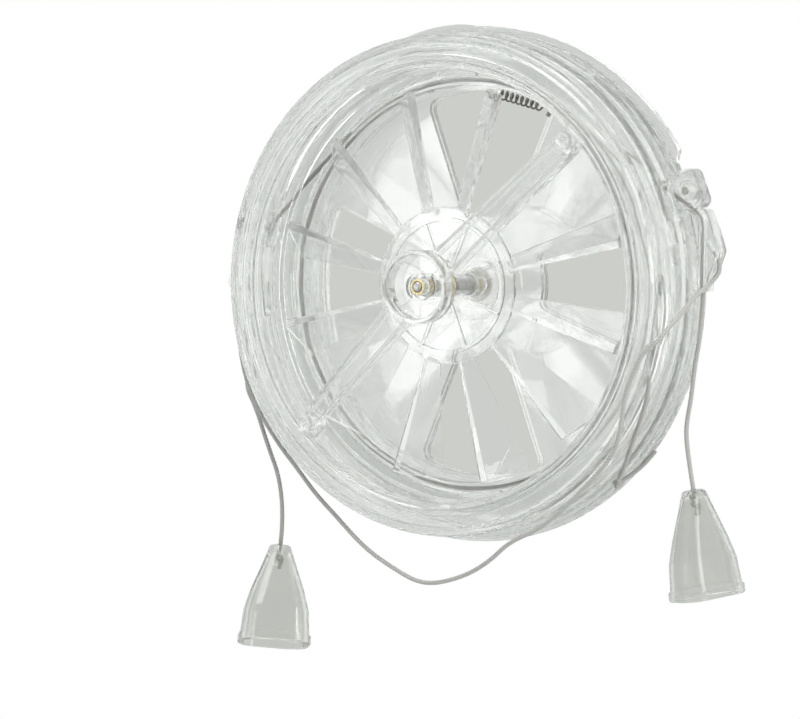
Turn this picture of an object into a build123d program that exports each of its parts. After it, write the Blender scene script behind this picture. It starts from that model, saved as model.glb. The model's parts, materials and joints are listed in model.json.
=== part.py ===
import math
import os

from build123d import *

os.makedirs("parts", exist_ok=True)

# A wind-driven ventilator for a round hole in a window pane, with a shutter on pull cords.
# Millimetres. X is to the right, Y goes from the room outwards and Z is up.
# The origin is on the fan's axis, in the room-side face of the pane.
# An angle is counted anticlockwise from +X, as seen from the room.

# Pane and clamping
pane_thick = 4.0
collar_radius = 81.5
collar_wall = 1.6
gasket_thick = 1.0
clamp_play = 0.1

# Front ring
opening_step = 0.5
ring_face = 13.0
ring_depth = 9.5
lip_rise = 3.0
sleeve_wall = 1.6
ring_wall = 2.0
spigot_length = 3.5
spigot_play = 0.3
spigot_wall = 1.6

# Housing on the room side
housing_wall = 2.0
front_step_rise = 0.5
front_step_depth = 6.5
middle_step_rise = 1.5
middle_step_depth = 6.0
rear_step_rise = 1.0
rear_step_depth = 4.0
flange_rise = 1.3
flange_thick = 3.0
collar_play = 0.3

# Running gear
shaft_radius = 2.0
shaft_play = 0.03
washer_thick = 0.6
washer_radius = 4.0
end_play = 0.05
fit_play = 0.05

# Impeller
vane_count = 12
vane_tip_gap = 6.5
vane_root_inset = 1.5
vane_phase = 7.5
vane_thick = 1.2
hub_disc_radius = 30.0
hub_disc_thick = 1.4
hub_rib_radius = 25.9
hub_rib_wall = 1.3
hub_rib_rise = 2.0
spoke_count = 8
spoke_thick = 1.0
spoke_rise = 1.6
spoke_phase = 17.0
impeller_front = -22.5

# Shutter and grille
sector_count = 4
sector_width = 44.0
sector_phase = 84.0
sector_inner = 26.0
sector_rim = 1.3
sector_corner = 4.0
grille_thick = 2.5
grille_flange_width = 11.0
grille_flange_thick = 4.0
shutter_thick = 1.8
shutter_play = 0.5
drum_wall = 3.1
drum_front = -9.0
groove_front = -8.1
groove_rear = -4.0
groove_depth = 1.75
shutter_travel = 45.0
stop_pin_radius = 1.5
stop_ring_radius = 15.0

# Cord
cord_radius = 0.9
cord_gap = 0.1

# Bridge and cup
bridge_angle = 39.7
bridge_wall = 1.5
cup_radius = 13.9
cup_wall = 1.8
cup_depth = 8.0
cup_base = 1.6
cup_front = -46.3
peg_radius = 1.6
peg_head_radius = 3.2

# Guide wheels and the cords that leave the drum
drum_turn = 52.2
wheel_travel = 59.0
corner_travel = 69.2
wheel_radius = 6.0
wheel_groove_radius = 3.6
wheel_thick = 4.7
wheel_pin_radius = 1.5
cheek_wall = 1.5
cheek_play = 0.15

# Pulls
pull_wall = 1.8
pull_height = 39.4
pull_rim_height = 3.2

# Places along the axis, worked out from the values above
flange_rear = -gasket_thick
flange_front = flange_rear - flange_thick
rear_step_front = flange_front - rear_step_depth
middle_step_front = rear_step_front - middle_step_depth
front_step_front = middle_step_front - front_step_depth
ring_front = front_step_front - ring_depth
lip_front = ring_front - lip_rise
grille_flange_front = pane_thick + gasket_thick
collar_rear = grille_flange_front + grille_flange_thick
grille_front = 8.5
grille_rear = grille_front + grille_thick
shutter_rear = grille_front - 1.0
shutter_front = shutter_rear - shutter_thick
collar_bore = collar_radius - collar_wall
drum_radius = collar_bore - shutter_play
drum_bore = drum_radius - drum_wall
groove_floor = drum_radius - groove_depth
cord_ring_radius = groove_floor + cord_radius + fit_play
cord_plane = groove_front + cord_radius + 0.2
hub_disc_rear = impeller_front + hub_disc_thick

# Radii, worked out from the collar outwards
opening_radius = collar_radius + opening_step
ring_radius = opening_radius + ring_face
front_step_radius = ring_radius + front_step_rise
housing_bore_radius = front_step_radius - housing_wall
middle_step_radius = front_step_radius + middle_step_rise
rear_step_radius = middle_step_radius + rear_step_rise
flange_radius = rear_step_radius + flange_rise
grille_flange_radius = collar_radius + grille_flange_width
vane_tip_radius = opening_radius - vane_tip_gap
vane_root_radius = hub_disc_radius - vane_root_inset
sector_outer = drum_bore - sector_rim


def profile(points, plane=Plane.XY):
    # Closed outline through (x, y) points, or (x, y, radius) where a corner is rounded
    corners = [(point[0], point[1]) for point in points]
    rounding = [point[2] if len(point) > 2 else 0 for point in points]
    with BuildSketch(plane) as flat:
        with BuildLine():
            FilletPolyline(*corners, radius=rounding, close=True)
        make_face()
    return flat.sketch


def collar_section(inner, outer, front, rear, rounding=0.0):
    # Section of a plain ring, to be turned about the Y axis
    return profile(
        [
            (inner, front, rounding),
            (outer, front, rounding),
            (outer, rear, rounding),
            (inner, rear, rounding),
        ]
    )


def across(depth):
    # Plane square to the fan's axis: local x is +X, local y is +Z, its normal faces the room
    return Plane.XZ.offset(-depth)


def on_circle(radius, angle, depth):
    turn = math.radians(angle)
    return (radius * math.cos(turn), depth, radius * math.sin(turn))


def sector(inner, outer, middle, width, corner, plane):
    # Flat window between two radii, with rounded corners
    start = middle - width / 2
    with BuildSketch(plane) as flat:
        with BuildLine():
            rim = CenterArc((0, 0), outer, start, width)
            root = CenterArc((0, 0), inner, start, width)
            Line(root @ 0, rim @ 0)
            Line(root @ 1, rim @ 1)
        make_face()
        fillet(flat.vertices(), corner)
    return flat.sketch


def windows(plane):
    # The sector openings that the grille and the shutter share
    step = 360 / sector_count
    return [
        sector(
            sector_inner,
            sector_outer,
            sector_phase + step * index,
            sector_width,
            sector_corner,
            plane,
        )
        for index in range(sector_count)
    ]


def mirrored(points, side):
    # Points of the right-hand side, or the same ones mirrored to the left
    return [(side * point[0],) + tuple(point[1:]) for point in points]


def arc_radii(points, share=0.45):
    # Largest tangent arc that the two runs at each corner allow
    radii = []
    for before, corner, after in zip(points, points[1:], points[2:]):
        run_in = Vector(*corner) - Vector(*before)
        run_out = Vector(*after) - Vector(*corner)
        half_turn = math.radians(run_in.get_angle(run_out)) / 2
        radii.append(share * min(run_in.length, run_out.length) / math.tan(half_turn))
    return radii


def cord_tube(label, points, tight=None):
    # Cord of one thickness along straight runs that tangent arcs join; tight gives the radius
    # of a corner that goes round an edge
    radii = arc_radii(points)
    for corner, radius in (tight or {}).items():
        radii[corner] = radius
    with BuildPart() as tube:
        with BuildLine() as route:
            if radii:
                FilletPolyline(*points, radius=radii)
            else:
                Line(*points)
        path = route.wires()[0]
        with BuildSketch(Plane(origin=path @ 0, z_dir=path % 0)):
            Circle(cord_radius)
        sweep(path=path)
    expected = math.pi * cord_radius**2 * path.length
    print(label, "length", round(path.length, 1), "volume ratio", round(tube.part.volume / expected, 3))
    print(label, "arc radii", [round(radius, 1) for radius in radii])
    return tube.part


# Front ring: the stepped bezel with its inner sleeve
sleeve_rear = groove_front - 1.4
sleeve_outer = opening_radius + sleeve_wall + 0.6
face_back = ring_front + ring_wall
spigot_outer = housing_bore_radius - spigot_play
spigot_inner = spigot_outer - spigot_wall
sleeve_length = sleeve_rear - lip_front
ring_section = [
    (opening_radius, lip_front, 0.6),
    (opening_radius + 2.6, lip_front, 0.7),
    (opening_radius + 3.0, lip_front + 1.2),
    (opening_radius + 4.0, lip_front + 1.2),
    (opening_radius + 4.3, lip_front + 2.6),
    (opening_radius + 5.2, lip_front + 2.6),
    (opening_radius + 5.5, lip_front + 0.9, 0.5),
    (opening_radius + 9.8, lip_front + 1.0, 0.5),
    (opening_radius + 10.6, lip_front + 2.2, 0.3),
    (ring_radius - 0.9, lip_front + 2.4, 0.4),
    (ring_radius, ring_front + 0.6, 0.4),
    (ring_radius, front_step_front),
    (spigot_outer, front_step_front),
    (spigot_outer, front_step_front + spigot_length),
    (spigot_inner, front_step_front + spigot_length),
    (spigot_inner, face_back, 0.8),
    (sleeve_outer, face_back - 0.6, 0.8),
    (sleeve_outer, sleeve_rear),
    (opening_radius + 1.0, sleeve_rear),
    (opening_radius + 1.0, sleeve_rear - 0.17 * sleeve_length),
    (opening_radius + 0.6, sleeve_rear - 0.17 * sleeve_length),
    (opening_radius + 0.6, sleeve_rear - 0.47 * sleeve_length),
    (opening_radius + 0.3, sleeve_rear - 0.47 * sleeve_length),
    (opening_radius + 0.3, sleeve_rear - 0.72 * sleeve_length),
    (opening_radius, sleeve_rear - 0.72 * sleeve_length),
]
lug_front = lip_front + 3.7
lug_thick = 3.0
lug_inset = 3.5
lug_radius = opening_radius - lug_inset
lug_width = 9.0
peg_hole_radius = peg_radius + fit_play
with BuildPart() as front_ring:
    revolve(profile(ring_section), axis=Axis.Y)
    # Two lugs inside the opening that the bridge is pegged to
    for lug_angle in (bridge_angle, bridge_angle + 180):
        with BuildSketch(across(lug_front + lug_thick)):
            with Locations(Location((0, 0), lug_angle)):
                with Locations((lug_radius + (lug_inset + 1) / 2, 0)):
                    Rectangle(lug_inset + 1, lug_width)
                with Locations((lug_radius, 0)):
                    Circle(lug_width / 2)
        extrude(amount=lug_thick)
    with BuildSketch(across(lug_front + lug_thick)):
        with PolarLocations(lug_radius, 2, start_angle=bridge_angle):
            Circle(peg_hole_radius)
    extrude(amount=lug_thick, mode=Mode.SUBTRACT)
front_ring.part.label = "front_ring"
export_step(front_ring.part, "parts/front_ring.step")


# Housing: the stepped body behind the ring, with the rear flange, cord slots and two ears
ear_front = -10.8
ear_rear = -3.0
ear_outline = [
    (flange_radius - 4.8, 22.3),
    (flange_radius + 5.0, 22.3, 1.4),
    (flange_radius + 7.6, 14.7, 8.0),
    (flange_radius + 9.8, 6.4, 3.0),
    (flange_radius + 7.2, 1.1, 1.5),
    (flange_radius + 3.9, -3.6, 1.5),
    (flange_radius + 3.3, -8.0, 0.8),
    (flange_radius - 4.8, -8.0),
]
# Lobes that the flange widens to above each ear, and one at its top, as (radius, angle)
side_lobe = [(-4.0, 74), (0, 74), (0.6, 68), (1.2, 60), (1.9, 51), (2.3, 41), (2.9, 32), (3.1, 26), (-4.0, 21)]
top_lobe = [(-4.0, 109), (0, 109), (0.9, 104), (1.2, 98), (1.1, 92), (0.8, 88), (-0.2, 85), (-4.0, 85)]
channel_radius = 1.7
drum_out = Vector(math.cos(math.radians(drum_turn)), 0, math.sin(math.radians(drum_turn)))
drum_away = Vector(math.sin(math.radians(drum_turn)), 0, -math.cos(math.radians(drum_turn)))
drum_leave = drum_out * cord_ring_radius + Vector(0, cord_plane, 0)
wheel_center = drum_leave + drum_away * wheel_travel
wheel_center += drum_out * (wheel_groove_radius + cord_radius + fit_play)
wheel_x = wheel_center.X
wheel_z = wheel_center.Z
wheel_turn = math.degrees(math.atan2(wheel_z, wheel_x))
cord_corner = drum_leave + drum_away * corner_travel
lead_route = [tuple(drum_leave), tuple(cord_corner), (100.4, cord_plane, -8.5)]
lead_corner_radius = 4.5
channel_lead = 12.4
channel_route = [
    tuple(drum_leave + drum_away * (wheel_travel - channel_lead)),
    tuple(cord_corner),
    (100.1, cord_plane, -12.0),
]
slack_start = [(104.4, -7.1, 10.6), (109.0, -7.4, 0.4)]
cheek_front = cord_plane - wheel_thick / 2 - cheek_play - cheek_wall
cheek_rear = cord_plane + wheel_thick / 2 + cheek_play + cheek_wall
block_height = 15.0
block_depth = 14.7
block_inset = 2.2
block_rounding = 3.2
block_radius = math.hypot(wheel_x, wheel_z) - block_inset
pocket_front = cheek_front + cheek_wall
pocket_rear = cheek_rear - cheek_wall
pocket_radius = math.hypot(wheel_x, wheel_z) + 1.0
pocket_height = 2 * wheel_radius + 0.8
pocket_depth = 2 * wheel_radius + 2.6
wheel_pin_hole = wheel_pin_radius + shaft_play
latch_angles = (76, 51, 256, 231)
latch_slot = (2.4, 5.0)
latch_slot_depth = 2.2
latch_depth = (middle_step_front + rear_step_front) / 2
housing_section = [
    (collar_radius + collar_play, flange_front),
    (housing_bore_radius, flange_front, 0.8),
    (housing_bore_radius, front_step_front),
    (front_step_radius, front_step_front, 0.4),
    (front_step_radius, middle_step_front),
    (middle_step_radius, middle_step_front, 0.5),
    (middle_step_radius, rear_step_front),
    (rear_step_radius, rear_step_front, 0.4),
    (rear_step_radius, flange_front),
    (flange_radius, flange_front, 0.4),
    (flange_radius, flange_rear, 0.4),
    (collar_radius + collar_play, flange_rear),
]


def lobe(points, side, plane):
    # Smooth outline from the first rise to the last, closed by straight lines inside the flange
    places = [
        on_circle(flange_radius + rise, angle if side > 0 else 180 - angle, 0)
        for rise, angle in points
    ]
    flat_places = [(place[0], place[2]) for place in places]
    with BuildSketch(plane) as flat:
        with BuildLine():
            Spline(*flat_places[1:-1])
            Polyline(flat_places[-2], flat_places[-1], flat_places[0], flat_places[1])
        make_face()
    return flat.sketch


with BuildPart() as housing:
    revolve(profile(housing_section), axis=Axis.Y)
    extrude(lobe(top_lobe, 1, across(flange_rear)), amount=flange_thick)
    for side in (-1, 1):
        extrude(lobe(side_lobe, side, across(flange_rear)), amount=flange_thick)
        extrude(profile(mirrored(ear_outline, side), across(ear_rear)), amount=ear_rear - ear_front)
        with BuildSketch(across(cheek_rear)):
            with Locations(Location((0, 0), wheel_turn if side > 0 else 180 - wheel_turn)):
                with Locations((block_radius, 0)):
                    RectangleRounded(block_depth, block_height, block_rounding)
        extrude(amount=cheek_rear - cheek_front)
    for side in (-1, 1):
        # Pocket for the guide wheel and the hole for its pin
        with BuildSketch(across(pocket_rear)):
            with Locations(Location((0, 0), wheel_turn if side > 0 else 180 - wheel_turn)):
                with Locations((pocket_radius, 0)):
                    Rectangle(pocket_depth, pocket_height)
        extrude(amount=pocket_rear - pocket_front, mode=Mode.SUBTRACT)
        with BuildSketch(across(cheek_rear)):
            with Locations((side * wheel_x, wheel_z)):
                Circle(wheel_pin_hole)
        extrude(amount=cheek_rear - cheek_front, mode=Mode.SUBTRACT)
        # Cord channel through the wall and the ear
        with BuildLine() as channel:
            FilletPolyline(*mirrored(channel_route, side), radius=[lead_corner_radius])
        with BuildSketch(Plane(origin=channel.wires()[0] @ 0, z_dir=channel.wires()[0] % 0)):
            Circle(channel_radius)
        sweep(path=channel.wires()[0], mode=Mode.SUBTRACT)
        # Hole in the nose of the ear where the loose loop goes in
        with BuildLine() as nose:
            Line(*mirrored(slack_start, side))
        with BuildSketch(Plane(origin=nose.wires()[0] @ 0, z_dir=nose.wires()[0] % 0)):
            Circle(cord_radius + 0.4)
        sweep(path=nose.wires()[0], mode=Mode.SUBTRACT)
    # Blind latch slots in the flank
    for slot_angle in latch_angles:
        with BuildSketch(
            Plane(
                origin=on_circle(middle_step_radius + 1, slot_angle, latch_depth),
                x_dir=(0, 1, 0),
                z_dir=on_circle(1, slot_angle, 0),
            )
        ):
            Rectangle(*latch_slot)
        extrude(amount=-latch_slot_depth, mode=Mode.SUBTRACT)
housing.part.label = "housing"
export_step(housing.part, "parts/housing.step")

# Outer grille: flange, collar, sector grille and hub in one moulding, with four snap hooks
hook_width = 12.0
hook_front = -5.6
hook_barb_radius = 83.5
boss_radius = 4.5
boss_front = -5.9
rear_bush_radius = 2.8
rear_bush_length = 5.0
bush_set = 0.2
shoulder_radius = 7.0
shoulder_front = shutter_rear + 0.1
blind_depth = 2.2
grille_section = [
    (collar_bore, flange_front + 0.4),
    (collar_radius, flange_front + 0.4),
    (collar_radius, grille_flange_front),
    (grille_flange_radius, grille_flange_front, 0.6),
    (grille_flange_radius, collar_rear, 1.8),
    (collar_radius + 2.5, grille_rear, 1.5),
    (0, grille_rear),
    (0, grille_front),
    (collar_bore, grille_front, 0.8),
]
hook_section = [
    (collar_bore + 0.2, flange_front + 1.0),
    (collar_bore + 0.2, hook_front, 0.3),
    (collar_radius + 0.6, hook_front, 0.3),
    (hook_barb_radius, flange_front - clamp_play - 0.3),
    (hook_barb_radius, flange_front - clamp_play),
    (collar_radius - 0.1, flange_front - clamp_play),
    (collar_radius - 0.1, flange_front + 1.0),
]
stop_angle = sector_phase - 45.0
with BuildPart() as outer_grille:
    revolve(profile(grille_section), axis=Axis.Y)
    for opening in windows(across(grille_rear)):
        extrude(opening, amount=grille_thick, mode=Mode.SUBTRACT)
    for hook_angle in (0, 90, 180, 270):
        hook_start = hook_angle + hook_width / 2
        hook_plane = Plane(
            origin=(0, 0, 0),
            x_dir=on_circle(1, hook_start, 0),
            z_dir=on_circle(1, hook_start + 90, 0),
        )
        revolve(profile(hook_section, hook_plane), axis=Axis.Y, revolution_arc=hook_width)
    with BuildSketch(across(grille_front)):
        Circle(boss_radius)
    extrude(amount=grille_front - boss_front)
    with BuildSketch(across(grille_front)):
        Circle(shoulder_radius)
    extrude(amount=grille_front - shoulder_front)
    with BuildSketch(across(grille_front)):
        stop_turn = math.radians(stop_angle)
        with Locations((stop_ring_radius * math.cos(stop_turn), stop_ring_radius * math.sin(stop_turn))):
            Circle(stop_pin_radius)
    extrude(amount=grille_front - shutter_front + 0.5)
    with BuildSketch(across(boss_front + bush_set + rear_bush_length)):
        Circle(rear_bush_radius)
    extrude(amount=rear_bush_length + bush_set, mode=Mode.SUBTRACT)
    with BuildSketch(across(blind_depth)):
        Circle(shaft_radius + 0.15)
    extrude(amount=blind_depth - boss_front, mode=Mode.SUBTRACT)
outer_grille.part.label = "outer_grille"
export_step(outer_grille.part, "parts/outer_grille.step")

# Gaskets on both faces of the pane
with BuildPart() as inner_gasket:
    revolve(collar_section(collar_radius + 1.5, rear_step_radius, flange_rear, 0, 0.3), axis=Axis.Y)
inner_gasket.part.label = "inner_gasket"
export_step(inner_gasket.part, "parts/inner_gasket.step")

with BuildPart() as outer_gasket:
    revolve(
        collar_section(collar_radius + 1.5, grille_flange_radius - 1.5, pane_thick, grille_flange_front, 0.3),
        axis=Axis.Y,
    )
outer_gasket.part.label = "outer_gasket"
export_step(outer_gasket.part, "parts/outer_gasket.step")

# Bridge: two channel arms and the round cup that carries the front bush
cup_rear = cup_front + cup_depth
cup_base_front = cup_rear - cup_base
bush_radius = 3.15
bush_length = 6.5
bush_front = cup_front + 2.8
bridge_boss_radius = 5.2
bridge_boss_front = bush_front + 0.2
bridge_boss_rear = -33.0
bar_root = (12.9, 11.0, -42.0, -36.0)
bar_end = (75.0, 7.4, -33.6, lug_front)
end_boss_radius = 3.2


def bar_section(radius, width, front, rear, angle):
    # U-shaped section of the bar, open to the rear, on a plane square to the bar
    turn = math.radians(angle)
    plane = Plane(
        origin=(radius * math.cos(turn), rear, radius * math.sin(turn)),
        x_dir=(-math.sin(turn), 0, math.cos(turn)),
        z_dir=(math.cos(turn), 0, math.sin(turn)),
    )
    half = width / 2
    rise = rear - front
    return profile(
        [
            (-half, 0),
            (-half, rise),
            (half, rise),
            (half, 0),
            (half - bridge_wall, 0),
            (half - bridge_wall, rise - bridge_wall),
            (-half + bridge_wall, rise - bridge_wall),
            (-half + bridge_wall, 0),
        ],
        plane,
    )


with BuildPart() as bridge:
    revolve(collar_section(cup_radius - cup_wall, cup_radius, cup_front, cup_rear, 0.5), axis=Axis.Y)
    revolve(collar_section(bush_radius, cup_radius - 0.5, cup_base_front, cup_rear), axis=Axis.Y)
    revolve(
        collar_section(bush_radius, bridge_boss_radius, bridge_boss_front, bush_front + bush_length),
        axis=Axis.Y,
    )
    revolve(
        collar_section(shaft_radius + 0.3, bridge_boss_radius, bush_front + bush_length, bridge_boss_rear),
        axis=Axis.Y,
    )
    for arm_angle in (bridge_angle, bridge_angle + 180):
        loft([bar_section(*bar_root, arm_angle), bar_section(*bar_end, arm_angle)], ruled=True)
        with BuildSketch(across(lug_front)):
            with Locations(Location((0, 0), arm_angle)):
                with Locations((lug_radius, 0)):
                    Circle(end_boss_radius)
                with Locations(((lug_radius + bar_end[0]) / 2, 0)):
                    Rectangle(lug_radius - bar_end[0] + 0.4, 2 * end_boss_radius)
        extrude(amount=lug_front - bar_end[2])
        # Rib behind the cup, from the boss to the arm
        with BuildSketch(across(bar_root[3])):
            with Locations(Location((0, 0), arm_angle)):
                with Locations(((bridge_boss_radius + bar_root[0]) / 2, 0)):
                    Rectangle(bar_root[0] - bridge_boss_radius + 1.5, bridge_wall)
        extrude(amount=bar_root[3] - cup_rear)
    with BuildSketch(across(lug_front)):
        for arm_angle in (bridge_angle, bridge_angle + 180):
            with Locations(Location((0, 0), arm_angle)):
                with Locations((lug_radius, 0)):
                    Circle(peg_hole_radius)
    extrude(amount=lug_front - bar_end[2], mode=Mode.SUBTRACT)
bridge.part.label = "bridge"
export_step(bridge.part, "parts/bridge.step")

peg_head = 1.3
peg_rear = lug_front + lug_thick + 0.5
with BuildPart() as bridge_pegs:
    for arm_angle in (bridge_angle, bridge_angle + 180):
        with BuildSketch(across(peg_rear)):
            with Locations(Location((0, 0), arm_angle)):
                with Locations((lug_radius, 0)):
                    Circle(peg_radius)
        extrude(amount=peg_rear - bar_end[2])
        with BuildSketch(across(bar_end[2])):
            with Locations(Location((0, 0), arm_angle)):
                with Locations((lug_radius, 0)):
                    Circle(peg_head_radius)
        extrude(amount=peg_head)
    fillet(bridge_pegs.faces().group_by(Axis.Y)[0].edges(), 0.7)
bridge_pegs.part.label = "bridge_pegs"
export_step(bridge_pegs.part, "parts/bridge_pegs.step")

# Bushes, spindle and washers
bush_bore = shaft_radius + shaft_play
rear_bush_front = boss_front + bush_set
with BuildPart() as front_bush:
    revolve(collar_section(bush_bore, bush_radius, bush_front, bush_front + bush_length, 0.25), axis=Axis.Y)
front_bush.part.label = "front_bush"
export_step(front_bush.part, "parts/front_bush.step")

with BuildPart() as rear_bush:
    revolve(
        collar_section(bush_bore, rear_bush_radius, rear_bush_front, rear_bush_front + rear_bush_length, 0.25),
        axis=Axis.Y,
    )
rear_bush.part.label = "rear_bush"
export_step(rear_bush.part, "parts/rear_bush.step")

spindle_front = bush_front - 0.9
spindle_rear = blind_depth - 0.2
spindle_section = [
    (0, spindle_front),
    (shaft_radius, spindle_front, 1.0),
    (shaft_radius, spindle_rear, 0.4),
    (0, spindle_rear),
]
with BuildPart() as spindle:
    revolve(profile(spindle_section), axis=Axis.Y)
spindle.part.label = "spindle"
export_step(spindle.part, "parts/spindle.step")

boss_front_end = bridge_boss_rear + washer_thick + 2 * end_play
boss_rear_end = boss_front - washer_thick - 2 * end_play
with BuildPart() as front_washer:
    revolve(
        collar_section(bush_bore, washer_radius, bridge_boss_rear + end_play, boss_front_end - end_play),
        axis=Axis.Y,
    )
front_washer.part.label = "front_washer"
export_step(front_washer.part, "parts/front_washer.step")

with BuildPart() as rear_washer:
    revolve(
        collar_section(bush_bore, washer_radius, boss_rear_end + end_play, boss_front - end_play),
        axis=Axis.Y,
    )
rear_washer.part.label = "rear_washer"
export_step(rear_washer.part, "parts/rear_washer.step")

# Impeller: ribbed hub disc with twelve twisted, tapered vanes
vane_root = (0.9, 5.8, 1.5)
vane_tip = (3.0, 15.0, 14.4)
impeller_boss_radius = 4.5
impeller_boss_end_radius = 3.6
hub_section = [
    (shaft_radius, boss_front_end),
    (impeller_boss_end_radius, boss_front_end, 0.4),
    (impeller_boss_radius, impeller_front - hub_rib_rise),
    (impeller_boss_radius, impeller_front),
    (hub_disc_radius, impeller_front, 0.4),
    (hub_disc_radius, hub_disc_rear, 0.4),
    (impeller_boss_radius, hub_disc_rear, 1.0),
    (impeller_boss_end_radius, boss_rear_end, 0.4),
    (shaft_radius, boss_rear_end),
]


def vane_section(radius, angle, bead, span, depth):
    # Section of a vane: a flat bead along its front edge, then a strip that runs back and round
    turn = math.radians(angle)
    plane = Plane(
        origin=(radius * math.cos(turn), impeller_front, radius * math.sin(turn)),
        x_dir=(-math.sin(turn), 0, math.cos(turn)),
        z_dir=(math.cos(turn), 0, math.sin(turn)),
    )
    length = math.hypot(span, depth)
    behind = (span - vane_thick * depth / length, -depth - vane_thick * span / length)
    return profile(
        [(0, 0), (bead, 0), (span, -depth), behind, (0, -vane_thick)],
        plane,
    )


with BuildPart() as impeller:
    revolve(profile(hub_section), axis=Axis.Y)
    revolve(
        collar_section(
            hub_rib_radius - hub_rib_wall, hub_rib_radius, impeller_front - hub_rib_rise, impeller_front
        ),
        axis=Axis.Y,
    )
    with BuildSketch(across(impeller_front)):
        with PolarLocations(0, spoke_count, start_angle=spoke_phase):
            with Locations(((hub_rib_radius + impeller_boss_end_radius) / 2, 0)):
                Rectangle(hub_rib_radius - impeller_boss_end_radius - 0.4, spoke_thick)
    extrude(amount=spoke_rise)
    for index in range(vane_count):
        vane_angle = vane_phase + index * 360 / vane_count
        loft(
            [
                vane_section(vane_root_radius, vane_angle, *vane_root),
                vane_section(vane_tip_radius, vane_angle, *vane_tip),
            ],
            ruled=True,
        )
    # The vanes end on one cylinder
    revolve(
        collar_section(0, vane_tip_radius, boss_front_end - 1, boss_rear_end + 1),
        axis=Axis.Y,
        mode=Mode.INTERSECT,
    )
    revolve(collar_section(0, shaft_radius, boss_front_end - 1, boss_rear_end + 1), axis=Axis.Y, mode=Mode.SUBTRACT)
impeller.part.label = "impeller"
export_step(impeller.part, "parts/impeller.step")

# Shutter: sector disc with its hub and the cord drum on its rim
shutter_hub_radius = 9.0
shutter_hub_front = 2.0
shutter_bore = boss_radius + fit_play
spring_depth = 1.0
spring_inset = 2.3
spring_from = on_circle(drum_bore - spring_inset, 79.5, spring_depth)
spring_to = on_circle(drum_bore - spring_inset, 62.3, spring_depth)
spring_axis = (Vector(*spring_to) - Vector(*spring_from)).normalized()
post_radius = 1.2
post_rise = 2.4
spring_leg = 0.8
knot_ball = 1.6
post_center = Vector(*spring_from) - spring_axis * (spring_leg + post_radius + cord_gap)
knot_center = Vector(*spring_to) + spring_axis * (spring_leg + knot_ball)
drum_section = [
    (drum_bore, drum_front, 0.3),
    (drum_radius, drum_front, 0.3),
    (drum_radius, groove_front),
    (groove_floor, groove_front),
    (groove_floor, groove_rear),
    (drum_radius, groove_rear),
    (drum_radius, shutter_rear, 0.4),
    (shutter_hub_radius, shutter_rear),
    (shutter_hub_radius, shutter_front),
    (drum_bore, shutter_front),
]
hub_ring = [
    (shutter_bore, shutter_hub_front, 0.2),
    (shutter_hub_radius, shutter_hub_front, 0.5),
    (shutter_hub_radius, shutter_rear),
    (shutter_bore, shutter_rear),
]
slot_width = 2 * stop_pin_radius + 0.6
knot_turn = math.atan2(knot_center.Z, knot_center.X)
with BuildPart() as shutter:
    revolve(profile(drum_section), axis=Axis.Y)
    revolve(profile(hub_ring), axis=Axis.Y)
    for opening in windows(across(shutter_rear)):
        extrude(opening, amount=shutter_thick, mode=Mode.SUBTRACT)
    # Slot that the fixed stop pin stands in, long enough for the shutter's travel
    slot = sector(
        stop_ring_radius - slot_width / 2,
        stop_ring_radius + slot_width / 2,
        stop_angle - shutter_travel / 2,
        shutter_travel + 2 * math.degrees(slot_width / 2 / stop_ring_radius),
        slot_width / 2 - 0.1,
        across(shutter_rear),
    )
    extrude(slot, amount=shutter_thick, mode=Mode.SUBTRACT)
    with BuildSketch(across(shutter_front)):
        with Locations((post_center.X, post_center.Z)):
            Circle(post_radius)
    extrude(amount=shutter_front - spring_depth + post_rise)
    with BuildSketch(
        Plane(
            origin=on_circle(drum_bore - 1.5, math.degrees(knot_turn), spring_depth),
            z_dir=(math.cos(knot_turn), 0, math.sin(knot_turn)),
        )
    ):
        Circle(cord_radius + 0.4)
    extrude(amount=drum_wall + 3.0, mode=Mode.SUBTRACT)
shutter.part.label = "shutter"
export_step(shutter.part, "parts/shutter.step")

clip_thick = 0.9
clip_width = 2.0
clip_front = shutter_hub_front - clamp_play - clip_thick
with BuildPart() as shutter_clip:
    revolve(
        collar_section(boss_radius, boss_radius + clip_width, clip_front, clip_front + clip_thick),
        axis=Axis.Y,
    )
shutter_clip.part.label = "shutter_clip"
export_step(shutter_clip.part, "parts/shutter_clip.step")

# Tension spring of the drum cord: one wire, wound between two straight ends on its axis
spring_radius = 2.1
wire_radius = 0.4
coil_turns = 8
end_rise = 1.9
coil_radius = spring_radius - wire_radius


def unit(vector):
    return vector / vector.length


def biarc(start, end, start_dir, end_dir):
    # Two tangent arcs between two points with given directions: (start, middle, end, middle direction)
    span = end - start
    both = start_dir + end_dir
    spread = 2 * (1 - start_dir.dot(end_dir))
    reach = (-span.dot(both) + math.sqrt(span.dot(both) ** 2 + spread * span.dot(span))) / spread
    middle = (start + start_dir * reach + end - end_dir * reach) * 0.5
    return middle, unit((end - end_dir * reach) - (start + start_dir * reach))


def coil_point(turn, begin, pitch):
    # Point on the coil and its direction after so many turns
    phase = 2 * math.pi * turn
    side_dir = spring_axis.cross(Vector(0, 1, 0))
    out = Vector(0, 1, 0) * math.cos(phase) + side_dir * math.sin(phase)
    ahead = side_dir * math.cos(phase) - Vector(0, 1, 0) * math.sin(phase)
    point = begin + spring_axis * (pitch * turn) + out * coil_radius
    return point, unit(spring_axis * (pitch / (2 * math.pi)) + ahead * coil_radius)


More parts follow.
